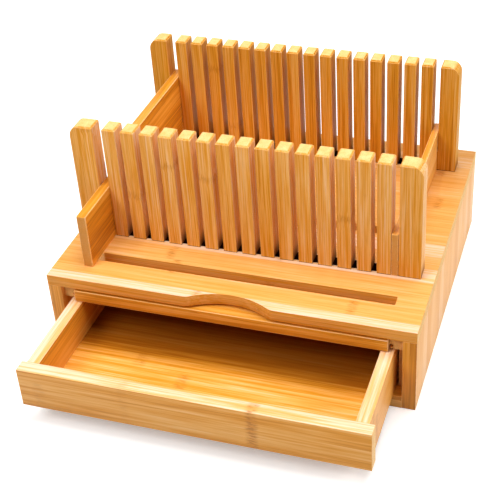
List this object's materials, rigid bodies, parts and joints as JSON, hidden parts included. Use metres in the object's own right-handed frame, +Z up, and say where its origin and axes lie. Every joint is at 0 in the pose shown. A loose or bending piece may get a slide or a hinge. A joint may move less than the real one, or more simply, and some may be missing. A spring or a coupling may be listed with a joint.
{
  "type": "bread slicer guide",
  "caption": "Bamboo bread slicing guide: two slotted combs and end stops on a cabinet with a crumb tray and a drawer.",
  "frame": {"origin": "centre of the cabinet's footprint, on the surface it stands on", "axes": "+X to the right seen from the drawer, +Y from the front to the back, +Z up"},
  "size_m": [0.34, 0.3973, 0.2013],
  "materials": {
    "bamboo": "satin",
    "bamboo_light": "satin",
    "bamboo_upright": "satin",
    "dowel_wood": "matte"
  },
  "bodies": {
    "cabinet": {"top_panel": "bamboo_light", "left_side_panel": "bamboo", "right_side_panel": "bamboo", "bottom_panel": "bamboo", "back_panel": "bamboo", "left_tray_runner": "bamboo", "right_tray_runner": "bamboo", "left_drawer_guide": "bamboo", "right_drawer_guide": "bamboo", "cabinet_dowels": "dowel_wood"},
    "drawer": {"drawer_front": "bamboo", "drawer_left_side": "bamboo", "drawer_right_side": "bamboo", "drawer_back": "bamboo", "drawer_floor": "bamboo", "drawer_dowels": "dowel_wood"},
    "tray": {"crumb_tray": "bamboo"},
    "front_comb_body": {"front_comb": "bamboo_upright"},
    "rear_comb_body": {"rear_comb": "bamboo_upright"},
    "left_stop": {"left_end_stop": "bamboo_upright"},
    "right_stop": {"right_end_stop": "bamboo_upright"}
  },
  "joints": [
    {"name": "drawer_slide", "type": "slide", "parent": "cabinet", "child": "drawer", "axis": [0, -1, 0], "range_m": [-0.0983, 0.1]},
    {"name": "crumb_tray_slide", "type": "slide", "parent": "cabinet", "child": "tray", "axis": [0, -1, 0], "range_m": [0, 0.22]},
    {"name": "front_comb_lift", "type": "slide", "parent": "cabinet", "child": "front_comb_body", "axis": [0, 0, 1], "range_m": [0, 0.05]},
    {"name": "rear_comb_lift", "type": "slide", "parent": "cabinet", "child": "rear_comb_body", "axis": [0, 0, 1], "range_m": [0, 0.05]},
    {"name": "left_stop_lift", "type": "slide", "parent": "front_comb_body", "child": "left_stop", "axis": [0, 0, 1], "range_m": [0, 0.125]},
    {"name": "right_stop_lift", "type": "slide", "parent": "front_comb_body", "child": "right_stop", "axis": [0, 0, 1], "range_m": [0, 0.125]}
  ],
  "couplings": [
    {"joint": "rear_comb_lift", "follows": "front_comb_lift", "ratio": 1}
  ]
}
